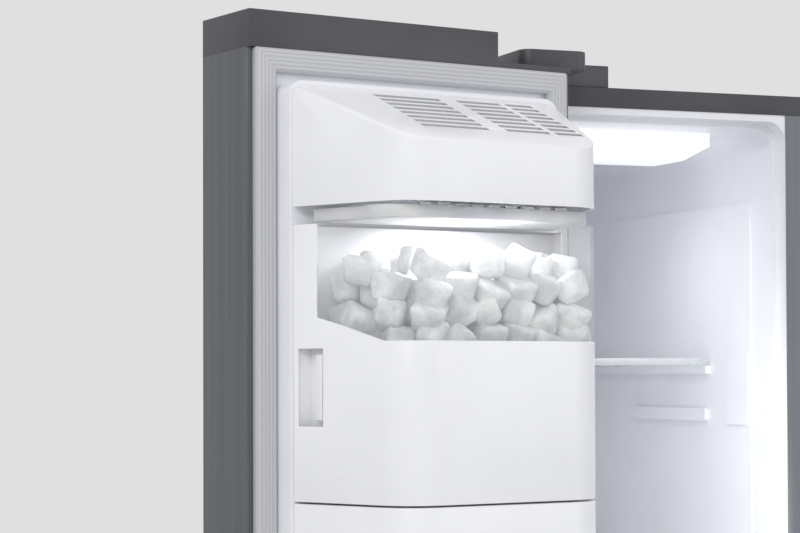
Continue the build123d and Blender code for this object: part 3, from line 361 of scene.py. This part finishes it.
# a lamp under each compartment's ceiling, and a tall soft light in its mouth
inside = {"lampBack": 0.18, "lampDrop": 0.09, "lampLean": 0.05, "lampSize": 0.16, "lampPower": 0.09, "low": 0.9,
          "mouthAhead": 0.02, "mouthLevel": 1.2, "mouthAim": 0.3, "mouthSize": 0.34, "mouthTall": 2.6,
          "mouthPower": 0.95}
for linerName in ("freezer_liner", "fridge_liner"):
    linerLow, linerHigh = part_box(linerName)
    middleX = (linerLow[0] + linerHigh[0]) / 2
    lampY = cabinetFront + inside["lampBack"]
    addLight(linerName + "Lamp", (middleX, lampY, linerHigh[2] - inside["lampDrop"]),
             (middleX, lampY + inside["lampLean"], inside["low"]), inside["lampSize"], inside["lampPower"])
    mouthLight = addLight(linerName + "Glow",
                          (middleX, cabinetFront - inside["mouthAhead"], inside["mouthLevel"]),
                          (middleX, inside["mouthAim"], inside["mouthLevel"]), inside["mouthSize"],
                          inside["mouthPower"])
    mouthLight.scale = (1.0, inside["mouthTall"], 1.0)
print("stage ready")

# soft edges
door = {"gap": 14}      # mm from the cabinet's front to the closed door's back
doorHinge = next(joint for joint in frame["record"]["behaviour"]["joints"]
                 if joint["name"] == "freezer_door_hinge")
doorPin = Vector(doorHinge["pos_m"])
doorTurn = math.radians(min(doorHinge["range_deg"]))


def onDoor(x, depth, z):
    # where a point of the closed freezer door is once the door is open:
    # mm from the cabinet's left side, from the door's back and from the floor
    closed = Vector((cabinetLeft + x * mm, cabinetFront - door["gap"] * mm + depth * mm, z * mm))
    arm = closed - doorPin
    arm.rotate(Matrix.Rotation(doorTurn, 3, "Z"))
    return doorPin + arm


def offDoor(point):
    # the reverse of onDoor: (x, depth, z) in mm of a point on the opened freezer door
    arm = point - doorPin
    arm.rotate(Matrix.Rotation(-doorTurn, 3, "Z"))
    closed = doorPin + arm
    return Vector(((closed.x - cabinetLeft) / mm, (closed.y - cabinetFront) / mm + door["gap"], closed.z / mm))


# mm on the closed door: the slots' spans across, then their places and slope along the cover
vents = {"groups": ((204, 284), (128, 182), (86, 120)), "first": 50, "pitch": 12.4, "rows": 8, "half": 2.4,
         "wider": 1.2, "slope": 63 / 145, "near": 0.3, "beyond": 1, "mostCorners": 6}


def widenVents(piece):
    # opens each air slot of the cover's sloping top, and paints shade on the inside of the slots: their walls
    # take a grey copy of the white plastic
    shaded = set()
    for vert in piece.data.vertices:
        x, depth, z = offDoor(vert.co)
        if not any(low - vents["beyond"] < x < high + vents["beyond"] for low, high in vents["groups"]):
            continue
        row = round((depth - vents["first"]) / vents["pitch"])
        away = depth - vents["first"] - row * vents["pitch"]
        if 0 <= row < vents["rows"] and abs(abs(away) - vents["half"]) < vents["near"]:
            move = math.copysign(vents["wider"], away)
            vert.co = onDoor(x, depth + move, z - move * vents["slope"])
            shaded.add(vert.index)
    # second finish: the painted shade for the slot walls
    piece.data.materials.append(ventPaintedShade)
    for face in piece.data.polygons:
        if len(face.vertices) <= vents["mostCorners"] and all(index in shaded for index in face.vertices):
            face.material_index = 1


bodyOf = {node: body for body, nodes in frame["record"]["behaviour"]["bodies"].items()
          for node in nodes}

# the radius of each moulded or pressed piece's edges, in mm
softEdges = {
    "ice_maker_cover": 1.2, "ice_bucket": 1.2, "lower_panel": 2.5, "bucket_window": 1.0, "bucket_latch": 0.8,
    "ice_tray": 0.6, "ice_maker_drive": 1.5, "hinge_covers": 3.0, "hinges": 0.8, "freezer_door_top_cap": 1.8,
    "fridge_door_top_cap": 1.8, "freezer_door_bottom_cap": 1.8, "fridge_door_bottom_cap": 1.8, "top_strip": 0.5,
    "mullion_strip": 0.5, "light_lenses": 4.0, "freezer_shelf_1": 0.8, "freezer_shelf_2": 0.8,
    "fridge_shelf_1": 0.8, "fridge_shelf_2": 0.8, "freezer_drawer": 1.2, "crisper_drawer": 1.2,
    "freezer_door_bin_1": 1.0, "freezer_door_bin_2": 1.0, "fridge_door_bin_1": 1.0, "fridge_door_bin_2": 1.0,
    "dispenser_housing": 1.2, "dispenser_lever": 0.8, "drip_tray": 1.0, "toe_grille": 0.8, "compressor": 3.0,
    "freezer_duct_cover": 0.8, "fridge_duct_cover": 0.8, "machine_room_cover": 0.5, "power_inlet": 0.8,
    "levelling_legs": 0.8, "rear_rollers": 1.2, "freezer_door_gasket": 1.5, "fridge_door_gasket": 1.5,
    "freezer_door_liner": 1.5, "fridge_door_liner": 1.5, "freezer_door_handle_pocket": 0.8,
    "fridge_door_handle_pocket": 0.8, "water_valve": 0.8, "condenser_fan_motor": 0.8,
}


# mm for merging seams, then degrees: faces as good as flat, edges to soften, edges to shade smooth
edgeWork = {"merge": 0.02, "flat": 0.6, "sharp": 32, "smooth": 35, "smoothIce": 40}


def workOn(piece):
    bpy.ops.object.select_all(action="DESELECT")
    piece.select_set(True)
    bpy.context.view_layer.objects.active = piece


def cleanCopy(nodeName):
    # the node's mesh with its seams merged and its flat faces whole
    source = frame["nodes"][nodeName]
    piece = bpy.data.objects.new(camelWord(nodeName), source.data.copy())
    bpy.context.collection.objects.link(piece)
    workOn(piece)
    bpy.ops.object.mode_set(mode="EDIT")
    bpy.ops.mesh.select_all(action="SELECT")
    bpy.ops.mesh.remove_doubles(threshold=edgeWork["merge"] * mm)
    bpy.ops.mesh.dissolve_limited(angle_limit=math.radians(edgeWork["flat"]))
    bpy.ops.mesh.normals_make_consistent(inside=False)
    bpy.ops.object.mode_set(mode="OBJECT")
    return piece


def soften(piece, widthMm, segments=3, angle=edgeWork["sharp"]):
    bevel = piece.modifiers.new("softEdge", "BEVEL")
    bevel.width = widthMm * mm
    bevel.segments = segments
    bevel.limit_method = "ANGLE"
    bevel.angle_limit = math.radians(angle)
    bevel.use_clamp_overlap = True
    workOn(piece)
    bpy.ops.object.modifier_apply(modifier="softEdge")
    bpy.ops.object.shade_smooth_by_angle(angle=math.radians(edgeWork["smooth"]))


for nodeName, widthMm in softEdges.items():
    softPiece = cleanCopy(nodeName)
    if nodeName == "ice_maker_cover":
        widenVents(softPiece)
    soften(softPiece, widthMm)
    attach(softPiece, bodyOf[nodeName])
    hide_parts(nodeName)
print("soft edges ready")

# ice
# mm on the closed door: the heap fills the bucket in rows and layers, up to a wavy crest
iceHeap = {"lowZ": 1394, "pitchX": 34, "pitchDepth": 29.5, "layer": 25, "layers": 7, "freeX": 369, "hingeX": 46,
           "slant": 22 / 74, "face": 33, "depthLow": 58, "depthHigh": 158, "margin": 26, "crest": 1526,
           "swell": 12, "swellX": 21.0, "swellDepth": 30.0, "lift": 6, "tilt": 0.6,
           "start": 8, "closer": 1.5, "wider": 2.5}
iceForm = {"size": (38, 32, 28), "baseLong": 0.72, "baseWide": 0.8, "round": 6.5, "sharp": 20, "rough": 0.5,
           "moulds": 3}


def iceCube(index):
    # one cube as it leaves the tray: narrower at its base, with melted corners
    long, wide, tall = iceForm["size"]
    bpy.ops.object.select_all(action="DESELECT")
    bpy.ops.mesh.primitive_cube_add(size=1.0, location=(0, 0, 0))
    cube = bpy.context.object
    cube.name = "iceCube%d" % index
    bpy.ops.object.mode_set(mode="EDIT")
    bpy.ops.mesh.select_all(action="SELECT")
    bpy.ops.transform.resize(value=(long * mm, wide * mm, tall * mm))
    bpy.ops.object.mode_set(mode="OBJECT")
    for vert in cube.data.vertices:
        if vert.co.z < 0:
            vert.co.x *= iceForm["baseLong"]
            vert.co.y *= iceForm["baseWide"]
    soften(cube, iceForm["round"], segments=4, angle=iceForm["sharp"])
    rough = iceForm["rough"]
    for vert in cube.data.vertices:
        vert.co += Vector([random.uniform(-rough, rough) * mm for axis in range(3)])
    return cube


def joinAll(pieces, finish):
    # one object out of several, all in one finish
    bpy.ops.object.select_all(action="DESELECT")
    for piece in pieces:
        piece.select_set(True)
    bpy.context.view_layer.objects.active = pieces[0]
    bpy.ops.object.join()
    joined = bpy.context.object
    joined.data.materials.clear()
    joined.data.materials.append(finish)
    return joined


moulds = [iceCube(index) for index in range(iceForm["moulds"])]
heapPieces = []
lift, tilt = iceHeap["lift"], iceHeap["tilt"]
for layer in range(iceHeap["layers"]):
    depth = iceHeap["depthLow"]
    while depth < iceHeap["depthHigh"]:
        reach = iceHeap["slant"] * (depth - iceHeap["face"]) + iceHeap["margin"]
        lowX, highX = iceHeap["hingeX"] + reach, iceHeap["freeX"] - reach
        x = lowX + random.uniform(0, iceHeap["start"])
        while x < highX:
            wave = math.sin(x / iceHeap["swellX"] + depth / iceHeap["swellDepth"])
            crest = iceHeap["crest"] + iceHeap["swell"] * wave
            z = iceHeap["lowZ"] + layer * iceHeap["layer"] + random.uniform(-lift, lift)
            if z < crest:
                mould = random.choice(moulds)
                cube = bpy.data.objects.new("iceCube", mould.data.copy())
                turn = (Matrix.Rotation(random.uniform(-tilt, tilt), 4, "X")
                        @ Matrix.Rotation(random.uniform(-tilt, tilt), 4, "Y"))
                spin = Matrix.Rotation(random.uniform(0, math.tau), 4, "Z")
                cube.data.transform(Matrix.Translation(onDoor(x, depth, z)) @ spin @ turn)
                bpy.context.collection.objects.link(cube)
                heapPieces.append(cube)
            x += iceHeap["pitchX"] + random.uniform(-iceHeap["closer"], iceHeap["wider"])
        depth += iceHeap["pitchDepth"]
for mould in moulds:
    bpy.data.objects.remove(mould)
iceLoad = joinAll(heapPieces, ice)
iceLoad.name = "iceLoad"
bpy.ops.object.shade_smooth_by_angle(angle=math.radians(edgeWork["smoothIce"]))
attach(iceLoad, "ice_bucket")
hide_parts("ice_load")
print("ice ready")

# tray guard
# mm and degrees on the closed door: a pan with two round front corners, and the lugs along its rim
guard = {"low": 1564.5, "high": 1577, "edge": 9, "wall": 2.2, "round": 34, "freeX": 306, "hingeX": 116,
         "depth": 126, "backDepth": 49, "tilt": -17, "sweep": 107, "steps": 8, "soft": 0.8}
lugs = {"size": (15, 5, 5), "tip": 0.6, "count": 9, "first": 130, "pitch": 20.5, "depth": 157.5, "soft": 0.7}


def guardOutline():
    # plan of the guard: the housing's own plan, set in
    inward = iceHeap["slant"] * (guard["backDepth"] - iceHeap["face"]) + guard["edge"]
    points = []
    corners = ((guard["freeX"], guard["tilt"]), (guard["hingeX"], guard["tilt"] + guard["sweep"]))
    for middleX, start in corners:
        for step in range(guard["steps"] + 1):
            angle = math.radians(start + guard["sweep"] * step / guard["steps"])
            points.append((middleX + guard["round"] * math.cos(angle),
                           guard["depth"] + guard["round"] * math.sin(angle)))
    points.append((iceHeap["hingeX"] + inward, guard["backDepth"]))
    points.append((iceHeap["freeX"] - inward, guard["backDepth"]))
    return points


def trayGuard():
    # shallow translucent pan that hangs under the ice tray
    outline = guardOutline()
    tall = (guard["high"] - guard["low"]) * mm
    bpy.ops.object.select_all(action="DESELECT")
    bpy.ops.mesh.primitive_circle_add(vertices=len(outline), radius=0.1, fill_type="NGON", location=(0, 0, 0))
    pan = bpy.context.object
    pan.name = "trayGuard"
    for vert, (x, depth) in zip(pan.data.vertices, outline):
        vert.co = onDoor(x, depth, guard["low"])
    workOn(pan)
    bpy.ops.object.mode_set(mode="EDIT")
    bpy.ops.mesh.select_all(action="SELECT")
    bpy.ops.mesh.extrude_region_move(TRANSFORM_OT_translate={"value": (0, 0, tall)})
    bpy.ops.mesh.inset(thickness=guard["wall"] * mm)
    bpy.ops.mesh.extrude_region_move(TRANSFORM_OT_translate={"value": (0, 0, guard["wall"] * mm - tall)})
    bpy.ops.mesh.select_all(action="SELECT")
    bpy.ops.mesh.normals_make_consistent(inside=False)
    bpy.ops.object.mode_set(mode="OBJECT")
    soften(pan, guard["soft"], segments=2)
    return pan


def guardLug(x, depth):
    # one snap lug on the pan's front rim: a small ramped block
    bpy.ops.object.select_all(action="DESELECT")
    bpy.ops.mesh.primitive_cube_add(size=1.0, location=(0, 0, 0))
    lug = bpy.context.object
    lug.name = "trayGuardLug"
    wide, deep, tall = lugs["size"]
    for vert in lug.data.vertices:
        share = lugs["tip"] if vert.co.z < 0 else 1.0
        vert.co = onDoor(x + vert.co.x * wide * share, depth + vert.co.y * deep * share,
                         guard["high"] + vert.co.z * tall)
    soften(lug, lugs["soft"], segments=2)
    return lug


guardPieces = [trayGuard()]
for step in range(lugs["count"]):
    guardPieces.append(guardLug(lugs["first"] + step * lugs["pitch"], lugs["depth"]))
trayGuardPiece = joinAll(guardPieces, frostedPlastic)
bpy.ops.object.shade_smooth_by_angle(angle=math.radians(edgeWork["smooth"]))
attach(trayGuardPiece, "freezer_door")
print("tray guard ready")

# soft light over the ice, as the compartment's lamp gives when the door is ajar
bucketGlow = {"x": 208, "depth": 105, "level": 1562, "aim": 1400, "size": 0.12, "power": 0.3}
addLight("bucketGlow", onDoor(bucketGlow["x"], bucketGlow["depth"], bucketGlow["level"]),
         onDoor(bucketGlow["x"], bucketGlow["depth"], bucketGlow["aim"]), bucketGlow["size"],
         bucketGlow["power"])
